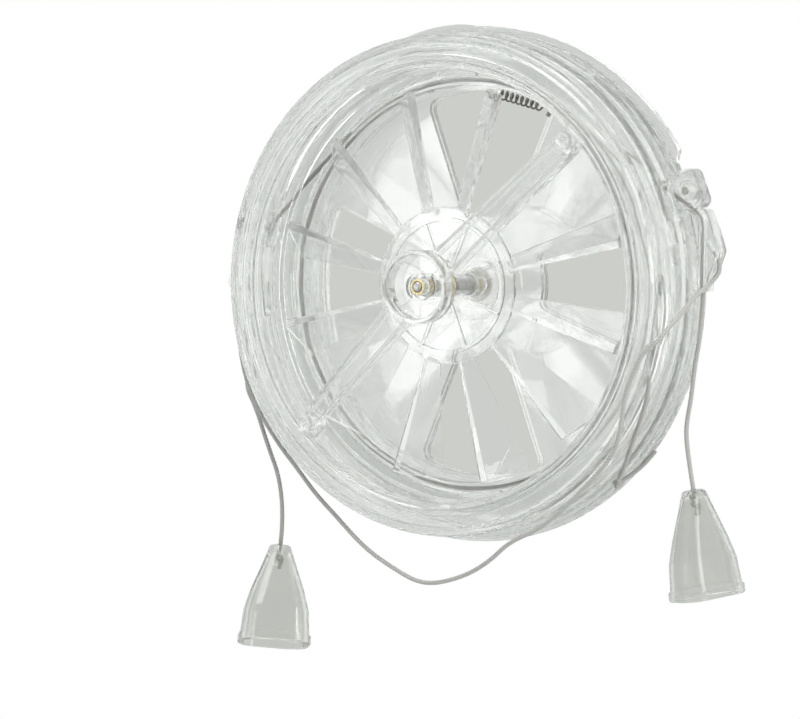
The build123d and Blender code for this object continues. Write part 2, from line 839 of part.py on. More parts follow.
spring_begin = Vector(*spring_from)
spring_end = Vector(*spring_to)
coil_length = (spring_end - spring_begin).length - 2 * end_rise
coil_pitch = coil_length / coil_turns
coil_begin = spring_begin + spring_axis * end_rise
stations = [(spring_begin, spring_axis)]
stations += [coil_point(quarter / 4, coil_begin, coil_pitch) for quarter in range(4 * coil_turns + 1)]
stations += [(spring_end, spring_axis)]
with BuildPart() as tension_spring:
    with BuildLine() as wire:
        Line(spring_begin - spring_axis * spring_leg, spring_begin)
        for (here, here_dir), (there, there_dir) in zip(stations, stations[1:]):
            middle, middle_dir = biarc(here, there, here_dir, there_dir)
            TangentArc(here, middle, tangent=here_dir)
            TangentArc(middle, there, tangent=middle_dir)
        Line(spring_end, spring_end + spring_axis * spring_leg)
    wire_path = wire.wires()[0]
    with BuildSketch(Plane(origin=wire_path @ 0, z_dir=wire_path % 0)):
        Circle(wire_radius)
    sweep(path=wire_path)
tension_spring.part.label = "tension_spring"
export_step(tension_spring.part, "parts/tension_spring.step")

# Least gap of the wire to itself, on points a wire's length of travel apart
wire_points = [wire_path @ (index / 900) for index in range(901)]
near = math.ceil(900 * math.pi * coil_radius / wire_path.length)
wire_gap = min(
    (first - second).length
    for place, first in enumerate(wire_points)
    for second in wire_points[place + near:]
) - 2 * wire_radius
print("tension_spring least gap", round(wire_gap, 2), "volume ratio",
      round(tension_spring.part.volume / (math.pi * wire_radius**2 * wire_path.length), 3))

# Knot and cord end that tie the spring to the drum cord through the hole in the drum
with BuildPart() as spring_cord:
    with Locations(tuple(knot_center)):
        Sphere(knot_ball)
    with BuildSketch(
        Plane(origin=tuple(knot_center), z_dir=(math.cos(knot_turn), 0, math.sin(knot_turn)))
    ):
        Circle(cord_radius)
    extrude(amount=drum_radius - 0.2 - math.hypot(knot_center.X, knot_center.Z))
spring_cord.part.label = "spring_cord"
export_step(spring_cord.part, "parts/spring_cord.step")

# Cord round the drum, open at the hole where its ends go in
drum_cord_gap = 8.0
drum_cord_depth = groove_rear - cord_radius - cord_gap
drum_cord_start = math.degrees(knot_turn) - drum_cord_gap / 2
with BuildPart() as drum_cord:
    ring_plane = Plane(
        origin=(0, 0, 0),
        x_dir=on_circle(1, drum_cord_start, 0),
        z_dir=on_circle(1, drum_cord_start + 90, 0),
    )
    with BuildSketch(ring_plane):
        with Locations((cord_ring_radius, drum_cord_depth)):
            Circle(cord_radius)
    revolve(axis=Axis.Y, revolution_arc=360 - drum_cord_gap)
drum_cord.part.label = "drum_cord"
export_step(drum_cord.part, "parts/drum_cord.step")

# Guide wheels and their pins
wheel_half = wheel_thick / 2
wheel_section = [
    (wheel_pin_radius + shaft_play, -wheel_half),
    (wheel_radius, -wheel_half, 0.3),
    (wheel_radius, -wheel_half + 0.9, 0.3),
    (wheel_groove_radius, -1.1, 0.4),
    (wheel_groove_radius, 1.1, 0.4),
    (wheel_radius, wheel_half - 0.9, 0.3),
    (wheel_radius, wheel_half, 0.3),
    (wheel_pin_radius + shaft_play, wheel_half),
]
pin_proud = 0.4


def guide_wheel(side):
    center = Vector(side * wheel_x, cord_plane, wheel_z)
    with BuildPart() as wheel:
        revolve(
            profile(wheel_section, Plane(origin=tuple(center), x_dir=(1, 0, 0), z_dir=(0, 0, 1))),
            axis=Axis(tuple(center), (0, 1, 0)),
        )
    return wheel.part


def wheel_pin(side):
    with BuildPart() as pin:
        with BuildSketch(across(cheek_rear + pin_proud)):
            with Locations((side * wheel_x, wheel_z)):
                Circle(wheel_pin_radius)
        extrude(amount=cheek_rear - cheek_front + 2 * pin_proud)
        chamfer(pin.edges().filter_by(GeomType.CIRCLE), 0.25)
    return pin.part


# Pulls: clear, hollow, open-bottomed bells of rounded oblong section, with a knot inside the top
pull_sections = [
    (0.0, 8.2, 7.4, 3.2),
    (9.0, 14.4, 10.8, 4.4),
    (18.0, 21.0, 14.0, 5.6),
    (26.0, 25.4, 16.6, 6.4),
    (pull_height - pull_rim_height, 27.0, 17.8, 6.8),
]
pull_rim = (28.4, 19.4, 7.6)
pull_top_rounding = 1.4
pull_rim_rounding = 0.6
pull_view = 31.2
cavity_top = 3.2
cord_hole_radius = cord_radius + 0.25
pull_knot_radius = 2.0


def pull_frame(top, lean, tip, yaw):
    # Frame of a pull at the middle of its top: z up along its axis, x along its wider side.
    # It leans sideways and tips backwards as one looks at it from the side of pull_view
    view = math.radians(pull_view)
    side_lean = Vector(math.cos(view), math.sin(view), 0) * math.tan(math.radians(lean))
    back_tip = Vector(-math.sin(view), math.cos(view), 0) * math.tan(math.radians(tip))
    up = unit(Vector(0, 0, 1) + side_lean + back_tip)
    wide = Vector(math.cos(math.radians(yaw)), math.sin(math.radians(yaw)), 0)
    wide = wide - up * wide.dot(up)
    return Plane(origin=top, x_dir=tuple(unit(wide)), z_dir=tuple(up))


def bell_section(frame, drop, width, depth, rounding):
    with BuildSketch(frame.offset(-drop)) as flat:
        RectangleRounded(width, depth, rounding)
    return flat.sketch


def cavity_section(frame, drop):
    # Section of the bell less its wall, at any drop between the listed ones
    for (top, *upper), (bottom, *lower) in zip(pull_sections, pull_sections[1:]):
        if top <= drop <= bottom:
            share = (drop - top) / (bottom - top)
            width, depth, rounding = [a + (b - a) * share for a, b in zip(upper, lower)]
            return bell_section(
                frame, drop, width - 2 * pull_wall, depth - 2 * pull_wall, rounding - pull_wall
            )


def cord_pull(frame):
    with BuildPart() as pull:
        loft([bell_section(frame, *section) for section in pull_sections], ruled=True)
        with BuildSketch(frame.offset(-pull_height)):
            RectangleRounded(*pull_rim)
        extrude(amount=pull_rim_height)
        along = Axis(frame.origin, frame.z_dir)
        fillet(pull.faces().sort_by(along)[-1].edges(), pull_top_rounding)
        fillet(pull.faces().sort_by(along)[0].edges(), pull_rim_rounding)
        drops = [cavity_top] + [section[0] for section in pull_sections[1:]]
        loft([cavity_section(frame, drop) for drop in drops], ruled=True, mode=Mode.SUBTRACT)
        mouth = pull_sections[-1]
        with BuildSketch(frame.offset(-pull_height)):
            RectangleRounded(mouth[1] - 2 * pull_wall, mouth[2] - 2 * pull_wall, mouth[3] - pull_wall)
        extrude(amount=pull_rim_height, mode=Mode.SUBTRACT)
        with BuildSketch(frame.offset(-cavity_top)):
            Circle(cord_hole_radius)
        extrude(amount=cavity_top, mode=Mode.SUBTRACT)
    return pull.part


def pull_knot(frame):
    # Knot under the pull's top, with the cord that comes through the hole
    with BuildPart() as knot:
        with Locations(tuple(frame.from_local_coords(Vector(0, 0, -cavity_top - pull_knot_radius - 0.1)))):
            Sphere(pull_knot_radius)
        with BuildSketch(frame.offset(-cavity_top - pull_knot_radius)):
            Circle(cord_radius)
        extrude(amount=cavity_top + pull_knot_radius - 0.25)
    return knot.part


# Routes of the cords that hang or lie free, as the eye follows them in the photograph
left_hang_route = [
    (-100.4, cord_plane, -8.5),
    (-102.2, -9.5, -22.0),
    (-101.9, -13.0, -35.7),
    (-97.4, -13.5, -43.4),
    (-91.8, -14.8, -58.9),
    (-86.0, -15.8, -72.6),
    (-85.1, -16.7, -89.9),
    (-87.0, -17.0, -99.1),
]
right_hang_route = [
    (100.4, cord_plane, -8.5),
    (100.0, -8.4, -16.6),
    (98.8, -9.6, -26.5),
    (97.0, -10.5, -34.3),
    (95.2, -11.9, -47.4),
    (93.6, -12.5, -53.8),
    (92.9, -13.2, -60.4),
    (94.3, -14.1, -72.6),
    (95.5, -14.8, -80.0),
]
slack_route = [
    (106.3, -7.2, 6.4),
    (109.0, -7.4, 0.4),
    (105.2, -9.3, -4.7),
    (103.9, -10.9, -6.0),
    (101.7, -17.3, -9.7),
    (99.2, -25.1, -16.1),
    (97.5, -32.0, -20.6),
    (94.8, -34.9, -24.9),
    (90.9, -35.6, -27.0),
    (87.9, -36.2, -30.4),
    (84.3, -36.5, -36.8),
    (81.1, -36.5, -43.2),
    (79.1, -36.5, -52.5),
    (76.5, -36.3, -62.2),
    (70.4, -36.0, -69.4),
    (61.8, -35.6, -76.7),
    (50.7, -35.2, -86.0),
    (39.6, -34.8, -92.5),
    (27.7, -34.1, -96.7),
    (18.3, -32.5, -103.6),
    (7.2, -31.0, -109.1),
    (-6.6, -29.4, -112.5),
    (-16.5, -28.5, -112.3),
    (-26.6, -27.6, -107.7),
    (-41.3, -25.9, -99.6),
    (-55.6, -25.0, -85.7),
    (-64.3, -24.0, -77.9),
    (-72.6, -22.9, -68.2),
    (-82.2, -22.5, -57.1),
    (-91.5, -22.0, -42.5),
    (-96.0, -20.6, -33.0),
    (-99.5, -18.6, -23.0),
    (-102.6, -14.6, -12.5),
    (-105.2, -8.9, -4.4),
    (-109.0, -7.4, 0.4),
    (-106.3, -7.2, 6.4),
]
anchor_knot_center = (62.7, -12.0, -77.4)
anchor_knot_radius = 2.3
anchor_route = [
    (88.6, -31.6, -36.8),
    (86.6, -28.0, -42.4),
    (80.7, -24.0, -52.7),
    (73.2, -19.5, -63.7),
    (67.2, -14.6, -72.0),
    (64.1, -12.8, -75.7),
]
anchor_tail_route = [
    (64.4, -10.8, -76.3),
    (67.4, -8.6, -74.4),
    (71.8, -6.0, -70.6),
    (76.0, -5.2, -66.0),
]

for side, name in ((-1, "left"), (1, "right")):
    wheel = guide_wheel(side)
    wheel.label = name + "_guide_wheel"
    export_step(wheel, "parts/" + name + "_guide_wheel.step")
    pin = wheel_pin(side)
    pin.label = name + "_wheel_pin"
    export_step(pin, "parts/" + name + "_wheel_pin.step")
    lead = cord_tube(name + "_lead_cord", mirrored(lead_route, side), {0: lead_corner_radius})
    lead.label = name + "_lead_cord"
    export_step(lead, "parts/" + name + "_lead_cord.step")

pull_places = (
    ("left", left_hang_route, 6.2, 18.0, 43.0),
    ("right", right_hang_route, -4.1, 0.0, 66.0),
)
for name, route, lean, tip, yaw in pull_places:
    frame = pull_frame(route[-1], lean, tip, yaw)
    pull = cord_pull(frame)
    pull.label = name + "_pull"
    export_step(pull, "parts/" + name + "_pull.step")
    knot = pull_knot(frame)
    knot.label = name + "_knot"
    export_step(knot, "parts/" + name + "_knot.step")
    hanging = cord_tube(name + "_hanging_cord", route)
    hanging.label = name + "_hanging_cord"
    export_step(hanging, "parts/" + name + "_hanging_cord.step")

slack_cord = cord_tube("slack_cord", slack_route)
slack_cord.label = "slack_cord"
export_step(slack_cord, "parts/slack_cord.step")

anchor_cord = cord_tube("anchor_cord", anchor_route)
anchor_cord.label = "anchor_cord"
export_step(anchor_cord, "parts/anchor_cord.step")

anchor_tail = cord_tube("anchor_tail", anchor_tail_route)
anchor_tail.label = "anchor_tail"
export_step(anchor_tail, "parts/anchor_tail.step")

with BuildPart() as anchor_knot:
    with Locations(anchor_knot_center):
        Sphere(anchor_knot_radius)
anchor_knot.part.label = "anchor_knot"
export_step(anchor_knot.part, "parts/anchor_knot.step")
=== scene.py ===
import json
import math

import bmesh
import bpy
from mathutils import Matrix, Vector


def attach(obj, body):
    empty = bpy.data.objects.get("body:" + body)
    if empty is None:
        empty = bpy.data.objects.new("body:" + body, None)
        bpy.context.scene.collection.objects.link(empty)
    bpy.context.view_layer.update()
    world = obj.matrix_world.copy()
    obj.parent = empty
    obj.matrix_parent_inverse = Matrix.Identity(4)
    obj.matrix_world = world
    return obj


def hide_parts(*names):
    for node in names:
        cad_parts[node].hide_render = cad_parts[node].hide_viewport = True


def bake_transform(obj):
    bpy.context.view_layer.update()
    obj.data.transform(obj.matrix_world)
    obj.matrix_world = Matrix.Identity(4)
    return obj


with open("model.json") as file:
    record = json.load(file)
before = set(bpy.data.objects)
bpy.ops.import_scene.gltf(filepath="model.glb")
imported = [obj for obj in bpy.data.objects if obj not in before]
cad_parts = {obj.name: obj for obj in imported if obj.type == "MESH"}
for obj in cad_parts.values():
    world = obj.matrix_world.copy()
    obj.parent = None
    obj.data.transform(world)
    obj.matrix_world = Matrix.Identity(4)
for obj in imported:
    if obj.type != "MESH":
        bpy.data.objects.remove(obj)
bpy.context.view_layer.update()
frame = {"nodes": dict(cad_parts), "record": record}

collection = bpy.context.scene.collection
print("frame loaded:", len(frame["nodes"]), "nodes")


# Shader maths: a wrapped socket with Python operators
class Tone:
    def __init__(self, tree, socket):
        self.tree = tree
        self.socket = socket

    def calc(self, operation, other=None, flipped=False):
        node = self.tree.nodes.new("ShaderNodeMath")
        node.operation = operation
        terms = [self] if other is None else ([other, self] if flipped else [self, other])
        for slot, term in zip(node.inputs, terms):
            if isinstance(term, Tone):
                self.tree.links.new(term.socket, slot)
            else:
                slot.default_value = term
        return Tone(self.tree, node.outputs[0])

    def __add__(self, other): return self.calc("ADD", other)
    def __radd__(self, other): return self.calc("ADD", other)
    def __sub__(self, other): return self.calc("SUBTRACT", other)
    def __rsub__(self, other): return self.calc("SUBTRACT", other, True)
    def __mul__(self, other): return self.calc("MULTIPLY", other)
    def __rmul__(self, other): return self.calc("MULTIPLY", other)
    def __truediv__(self, other): return self.calc("DIVIDE", other)
    def __pow__(self, other): return self.calc("POWER", other)

    def clamped(self):
        node = self.calc("ADD", 0.0)
        node.socket.node.use_clamp = True
        return node


class Shader:
    def __init__(self, tree):
        self.tree = tree

    def node(self, kind, settings=None, **sockets):
        made = self.tree.nodes.new(kind)
        for name, value in (settings or {}).items():
            setattr(made, name, value)
        for name, value in sockets.items():
            key = int(name[1:]) if name[0] == "i" and name[1:].isdigit() else name.replace("_", " ")
            slot = made.inputs[key]
            if isinstance(value, Tone):
                self.tree.links.new(value.socket, slot)
            else:
                slot.default_value = value
        return made

    def tone(self, kind, output, settings=None, **sockets):
        return Tone(self.tree, self.node(kind, settings, **sockets).outputs[output])

    def mixed(self, share, first, second):
        return self.tone("ShaderNodeMix", 2, {"data_type": "RGBA"}, i0=share, i6=first, i7=second)


def newMaterial(name):
    material = bpy.data.materials.new(name)
    material.use_nodes = True
    material.node_tree.nodes.clear()
    shade = Shader(material.node_tree)
    output = shade.node("ShaderNodeOutputMaterial")
    return material, shade, output


def surface(shade, output, shader):
    shade.tree.links.new(shader.outputs[0], output.inputs["Surface"])


# The edge colours are painted shade. The base colour darkens towards them where a surface turns edge-on to
# the view, standing in for the dark lines that refraction shows at grazing walls.
plasticLook = {
    "tint": (0.9980, 0.9995, 0.9985, 1.0),
    "edge": (0.55, 0.56, 0.56, 1.0),
    "painted edge shade power": 5.0,
    "ior": 1.55,
    "clearness": 0.995,
    "body": 0.92,
    "polish": 0.006,
    "haze": 0.04,
    "haze from": 0.45,
    "ripple": 0.12,
    "ripple depth": 0.001,
    "flow scale": 28.0,
    "flow share": 0.7,
    "grain scale": 420.0,
    "grain share": 0.06,
}
ringLook = {**plasticLook, "edge": (0.90, 0.90, 0.90, 1.0), "ripple": 0.03, "haze": 0.02, "polish": 0.004}
pullLook = {**plasticLook, "tint": (0.885, 0.888, 0.868, 1.0), "edge": (0.25, 0.26, 0.25, 1.0),
            "painted edge shade power": 2.4, "ripple": 0.06}


def clearPlastic(name, look):
    material, shade, output = newMaterial(name)
    place = shade.tone("ShaderNodeTexCoord", "Object")
    flow = shade.tone("ShaderNodeTexNoise", "Fac", Vector=place, Scale=look["flow scale"], Detail=3.0)
    grain = shade.tone("ShaderNodeTexNoise", "Fac", Vector=place, Scale=look["grain scale"], Detail=2.0)
    rough = look["polish"] + (flow - look["haze from"]).clamped() * look["haze"]
    ripple = shade.tone("ShaderNodeBump", "Normal", Strength=look["ripple"], Distance=look["ripple depth"],
                        Height=flow * look["flow share"] + grain * look["grain share"])
    # Painted edge shade: the base colour mixes towards the edge colour as the surface turns edge-on to the
    # view.
    paintedEdgeShade = shade.tone("ShaderNodeLayerWeight", "Facing", Blend=0.5) ** look["painted edge shade power"]
    colour = shade.mixed(paintedEdgeShade, look["tint"], look["edge"])
    shader = shade.node("ShaderNodeBsdfPrincipled", Base_Color=colour, IOR=look["ior"],
                        Roughness=rough, Normal=ripple, Transmission_Weight=look["clearness"],
                        Alpha=look["body"])
    surface(shade, output, shader)
    return material


brassLook = {"bright": (0.80, 0.70, 0.45, 1.0), "dull": (0.52, 0.42, 0.24, 1.0), "stain scale": 900.0,
             "ring scale": 520.0, "ring strength": 0.15, "ring depth": 0.00005, "polish": 0.18,
             "stain dulls": 0.2}


def turnedBrass(name, look):
    material, shade, output = newMaterial(name)
    place = shade.tone("ShaderNodeTexCoord", "Object")
    stain = shade.tone("ShaderNodeTexNoise", "Fac", Vector=place, Scale=look["stain scale"], Detail=4.0)
    colour = shade.mixed(stain, look["bright"], look["dull"])
    rings = shade.tone("ShaderNodeTexWave", "Fac", {"bands_direction": "Y"}, Vector=place,
                       Scale=look["ring scale"])
    bump = shade.tone("ShaderNodeBump", "Normal", Strength=look["ring strength"], Distance=look["ring depth"],
                      Height=rings)
    shader = shade.node("ShaderNodeBsdfPrincipled", Base_Color=colour, Metallic=1.0,
                        Roughness=look["polish"] + stain * look["stain dulls"], Normal=bump)
    surface(shade, output, shader)
    return material


steelLook = {"colour": (0.62, 0.61, 0.58, 1.0), "dark": (0.32, 0.31, 0.29, 1.0), "streak scale": 1400.0,
             "streak strength": 0.2, "streak depth": 0.00004, "polish": 0.2, "streak dulls": 0.18}
springLook = {**steelLook, "colour": (0.30, 0.29, 0.27, 1.0), "dark": (0.14, 0.14, 0.13, 1.0)}


def drawnSteel(name, look):
    material, shade, output = newMaterial(name)
    place = shade.tone("ShaderNodeTexCoord", "Object")
    streak = shade.tone("ShaderNodeTexNoise", "Fac", Vector=place, Scale=look["streak scale"], Detail=3.0)
    colour = shade.mixed(streak, look["colour"], look["dark"])
    bump = shade.tone("ShaderNodeBump", "Normal", Strength=look["streak strength"],
                      Distance=look["streak depth"], Height=streak)
    shader = shade.node("ShaderNodeBsdfPrincipled", Base_Color=colour, Metallic=1.0,
                        Roughness=look["polish"] + streak * look["streak dulls"], Normal=bump)
    surface(shade, output, shader)
    return material


# The cord is white nylon. Its grey light and shade colours are painted shade for the shade it hangs in, and
# fibre noise mixes between them.
paintedShadeCordLook = {"light": (0.70, 0.70, 0.68, 1.0), "shade": (0.50, 0.50, 0.48, 1.0), "fibre scale": 2600.0,
            "fibre strength": 0.35, "fibre depth": 0.0001, "roughness": 0.55, "fibre roughens": 0.2,
            "sheen": 0.25, "glow": 0.15, "glow reach": 0.0006}


def twistedNylon(name, look):
    material, shade, output = newMaterial(name)
    place = shade.tone("ShaderNodeTexCoord", "Object")
    fibre = shade.tone("ShaderNodeTexNoise", "Fac", Vector=place, Scale=look["fibre scale"], Detail=3.0)
    # Painted shade: both fibre colours are grey, darker than the white nylon.
    colour = shade.mixed(fibre, look["light"], look["shade"])
    bump = shade.tone("ShaderNodeBump", "Normal", Strength=look["fibre strength"],
                      Distance=look["fibre depth"], Height=fibre)
    shader = shade.node("ShaderNodeBsdfPrincipled", Base_Color=colour,
                        Roughness=look["roughness"] + fibre * look["fibre roughens"], Normal=bump,
                        Sheen_Weight=look["sheen"], Subsurface_Weight=look["glow"],
                        Subsurface_Scale=look["glow reach"])
    surface(shade, output, shader)
    return material


sealLook = {"light": (0.995, 0.998, 0.996, 1.0), "dark": (0.98, 0.985, 0.982, 1.0), "clearness": 0.985,
            "ior": 1.4, "cloud scale": 160.0, "cloud strength": 0.2, "cloud depth": 0.0002, "polish": 0.22,
            "cloud dulls": 0.12}
washerLook = {**sealLook, "light": (0.90, 0.91, 0.89, 1.0), "dark": (0.80, 0.81, 0.79, 1.0),
              "clearness": 0.35}


def softSeal(name, look):
    material, shade, output = newMaterial(name)
    place = shade.tone("ShaderNodeTexCoord", "Object")
    cloud = shade.tone("ShaderNodeTexNoise", "Fac", Vector=place, Scale=look["cloud scale"], Detail=4.0)
    colour = shade.mixed(cloud, look["light"], look["dark"])
    bump = shade.tone("ShaderNodeBump", "Normal", Strength=look["cloud strength"],
                      Distance=look["cloud depth"], Height=cloud)
    shader = shade.node("ShaderNodeBsdfPrincipled", Base_Color=colour,
                        Roughness=look["polish"] + cloud * look["cloud dulls"], Normal=bump,
                        Transmission_Weight=look["clearness"], IOR=look["ior"])
    surface(shade, output, shader)
    return material


materials = {
    "clear_plastic": clearPlastic("clearPlastic", plasticLook),
    "ring": clearPlastic("ringPlastic", ringLook),
    "pull": clearPlastic("pullPlastic", pullLook),
    "brass": turnedBrass("turnedBrass", brassLook),
    "steel": drawnSteel("drawnSteel", steelLook),
    "spring": drawnSteel("springWire", springLook),
    "cord": twistedNylon("twistedNylon", paintedShadeCordLook),
    "gasket": softSeal("softSeal", sealLook),
    "washer": softSeal("nylonWasher", washerLook),
}
slotOf = {entry["node"]: entry["material_slot"] for entry in frame["record"]["subparts"]}
# Rings, pulls and spring differ in look from the other pieces of their slot
lookOf = dict(slotOf, tension_spring="spring", left_pull="pull", right_pull="pull",
              front_ring="ring", housing="ring", bridge="ring", bridge_pegs="ring")
bodyOf = {node: body for body, nodes in frame["record"]["behaviour"]["bodies"].items() for node in nodes}
for node, thing in frame["nodes"].items():
    thing.data.materials.clear()
    thing.data.materials.append(materials[slotOf[node]])
print("materials made")


# Camera at the photograph's viewing angle, found by fitting the rings of the front
view = {"azimuth": 31.195, "elevation": -0.224, "roll": -3.362, "distance": 1.1, "aim": (0.0, -0.030, 0.0),
        "pixelsPerMetre": 2647.0, "aimPixel": (435.8, 286.0), "frameSize": (800, 719), "sensor": 36.0,
        "clip": (0.05, 50.0)}


def photoCamera(spec):
    az, el, roll = (math.radians(spec[key]) for key in ("azimuth", "elevation", "roll"))
    right = Vector((math.cos(az), math.sin(az), 0.0))
    forward = Vector((-math.sin(az) * math.cos(el), math.cos(az) * math.cos(el), -math.sin(el)))
    up = right.cross(forward)
    tiltedRight = right * math.cos(roll) + up * math.sin(roll)
    tiltedUp = up * math.cos(roll) - right * math.sin(roll)
    data = bpy.data.cameras.new("photoCamera")
    width, height = spec["frameSize"]
    data.sensor_width = spec["sensor"]
    data.lens = spec["sensor"] * spec["pixelsPerMetre"] * spec["distance"] / width
    data.shift_x = -(spec["aimPixel"][0] - width / 2) / width
    data.shift_y = (spec["aimPixel"][1] - height / 2) / width
    data.clip_start, data.clip_end = spec["clip"]
    camera = bpy.data.objects.new("photoCamera", data)
    collection.objects.link(camera)
    turn = Matrix((tiltedRight, tiltedUp, -forward)).transposed()
    camera.matrix_world = Matrix.Translation(Vector(spec["aim"]) - forward * spec["distance"]) @ turn.to_4x4()
    bpy.context.scene.camera = camera
    return forward


lookAlong = photoCamera(view)

# Cords: three strands twisted round each route's own spline
cordSize = {"diameter": 0.0018, "strands": 3, "strand share": 0.56, "orbit share": 0.44, "lay": 0.0042,
            "sides": 7, "step": 0.00035}
leftRoute = [(-48.17, -7.0, 62.11), (-94.3, -7.0, 26.3), (-103.2, -7.0, 19.1), (-101.9, -7.0, 8.9),
             (-100.4, -7.0, -8.5), (-102.2, -9.5, -22.0), (-101.9, -13.0, -35.7), (-97.4, -13.5, -43.4),
             (-91.8, -14.8, -58.9), (-86.0, -15.8, -72.6), (-85.1, -16.7, -89.9), (-87.0, -17.0, -99.1)]
rightRoute = [(48.17, -7.0, 62.11), (94.3, -7.0, 26.3), (103.2, -7.0, 19.1), (101.9, -7.0, 8.9),
              (100.4, -7.0, -8.5), (100.0, -8.4, -16.6), (98.8, -9.6, -26.5), (97.0, -10.5, -34.3),
              (95.2, -11.9, -47.4), (93.6, -12.5, -53.8), (92.9, -13.2, -60.4), (94.3, -14.1, -72.6),
              (95.5, -14.8, -80.0)]
slackRoute = [(106.3, -7.2, 6.4), (109.0, -7.4, 0.4), (105.2, -9.3, -4.7), (103.9, -10.9, -6.0),
              (101.7, -17.3, -9.7), (99.2, -25.1, -16.1), (97.5, -32.0, -20.6), (94.8, -34.9, -24.9),
              (90.9, -35.6, -27.0), (87.9, -36.2, -30.4), (84.3, -36.5, -36.8), (81.1, -36.5, -43.2),
              (79.1, -36.5, -52.5), (76.5, -36.3, -62.2), (70.4, -36.0, -69.4), (61.8, -35.6, -76.7),
              (50.7, -35.2, -86.0), (39.6, -34.8, -92.5), (27.7, -34.1, -96.7), (18.3, -32.5, -103.6),
              (7.2, -31.0, -109.1), (-6.6, -29.4, -112.5), (-16.5, -28.5, -112.3), (-26.6, -27.6, -107.7),
              (-41.3, -25.9, -99.6), (-55.6, -25.0, -85.7), (-64.3, -24.0, -77.9), (-72.6, -22.9, -68.2),
              (-82.2, -22.5, -57.1), (-91.5, -22.0, -42.5), (-96.0, -20.6, -33.0), (-99.5, -18.6, -23.0),
              (-102.6, -14.6, -12.5), (-105.2, -8.9, -4.4), (-109.0, -7.4, 0.4), (-106.3, -7.2, 6.4)]
anchorRoute = [(88.6, -31.6, -36.8), (86.6, -28.0, -42.4), (80.7, -24.0, -52.7), (73.2, -19.5, -63.7),
               (67.2, -14.6, -72.0), (64.1, -12.8, -75.7)]
anchorTail = [(64.4, -10.8, -76.3), (67.4, -8.6, -74.4), (71.8, -6.0, -70.6), (76.0, -5.2, -66.0)]


def cordTree():
    tree = bpy.data.node_groups.new("twistedCord", "GeometryNodeTree")
    face = tree.interface
    face.new_socket(name="Line", in_out="INPUT", socket_type="NodeSocketGeometry")
    keys = {}
    for name, kind in (("Strand Radius", "Float"), ("Orbit", "Float"), ("Lay", "Float"), ("Step", "Float"),
                       ("Strands", "Int"), ("Sides", "Int"), ("Material", "Material")):
        keys[name] = face.new_socket(name=name, in_out="INPUT", socket_type="NodeSocket" + kind).identifier
    face.new_socket(name="Cord", in_out="OUTPUT", socket_type="NodeSocketGeometry")
    make = Shader(tree)
    given = make.node("NodeGroupInput")
    size = {name: Tone(tree, given.outputs[name]) for name in list(keys) + ["Line"]}
    even = make.tone("GeometryNodeResampleCurve", "Curve", {"mode": "LENGTH"}, Curve=size["Line"],
                     Length=size["Step"])
    level = make.tone("GeometryNodeSetCurveNormal", "Curve", {"mode": "MINIMUM_TWIST"}, Curve=even)
    copies = make.node("GeometryNodeDuplicateElements", {"domain": "SPLINE"}, Geometry=level,
                       Amount=size["Strands"])
    travel = make.tone("GeometryNodeSplineParameter", "Length")
    number = Tone(tree, copies.outputs["Duplicate Index"])
    phase = (travel / size["Lay"] + number / size["Strands"]) * (2 * math.pi)
    normal = make.tone("GeometryNodeInputNormal", "Normal")
    along = make.tone("GeometryNodeInputTangent", "Tangent")
    aside = make.tone("ShaderNodeVectorMath", "Vector", {"operation": "CROSS_PRODUCT"}, i0=along, i1=normal)
    out = make.tone("ShaderNodeVectorMath", "Vector", {"operation": "SCALE"}, i0=normal,
                    Scale=size["Orbit"] * phase.calc("COSINE"))
    over = make.tone("ShaderNodeVectorMath", "Vector", {"operation": "SCALE"}, i0=aside,
                     Scale=size["Orbit"] * phase.calc("SINE"))
    shift = make.tone("ShaderNodeVectorMath", "Vector", {"operation": "ADD"}, i0=out, i1=over)
    strands = make.tone("GeometryNodeSetPosition", "Geometry",
                        Geometry=Tone(tree, copies.outputs["Geometry"]), Offset=shift)
    ring = make.tone("GeometryNodeCurvePrimitiveCircle", "Curve", Resolution=size["Sides"],
                     Radius=size["Strand Radius"])
    skin = make.tone("GeometryNodeCurveToMesh", "Mesh", Curve=strands, Profile_Curve=ring, Fill_Caps=True)
    real = make.tone("GeometryNodeRealizeInstances", "Geometry", Geometry=skin)
    done = make.tone("GeometryNodeSetMaterial", "Geometry", Geometry=real, Material=size["Material"])
    make.node("NodeGroupOutput", Cord=done)
    return tree, keys


cordNodes, cordKeys = cordTree()


def splineObject(name, route):
    # One open NURBS spline with the route's points, which are in millimetres
    curve = bpy.data.curves.new(name, "CURVE")
    curve.dimensions = "3D"
    curve.resolution_u = 24
    spline = curve.splines.new("NURBS")
    spline.points.add(len(route) - 1)
    for point, (x, y, z) in zip(spline.points, route):
        point.co = (x / 1000, y / 1000, z / 1000, 1.0)
    spline.order_u = 3
    spline.use_endpoint_u = True
    line = bpy.data.objects.new(name, curve)
    collection.objects.link(line)
    bpy.context.view_layer.update()
    return line


def linePoints(line):
    # The spline's own points, and its length
    mesh = bpy.data.meshes.new_from_object(line)
    points = [tuple(vertex.co) for vertex in mesh.vertices]
    bpy.data.meshes.remove(mesh)
    return points, sum(math.dist(a, b) for a, b in zip(points, points[1:]))


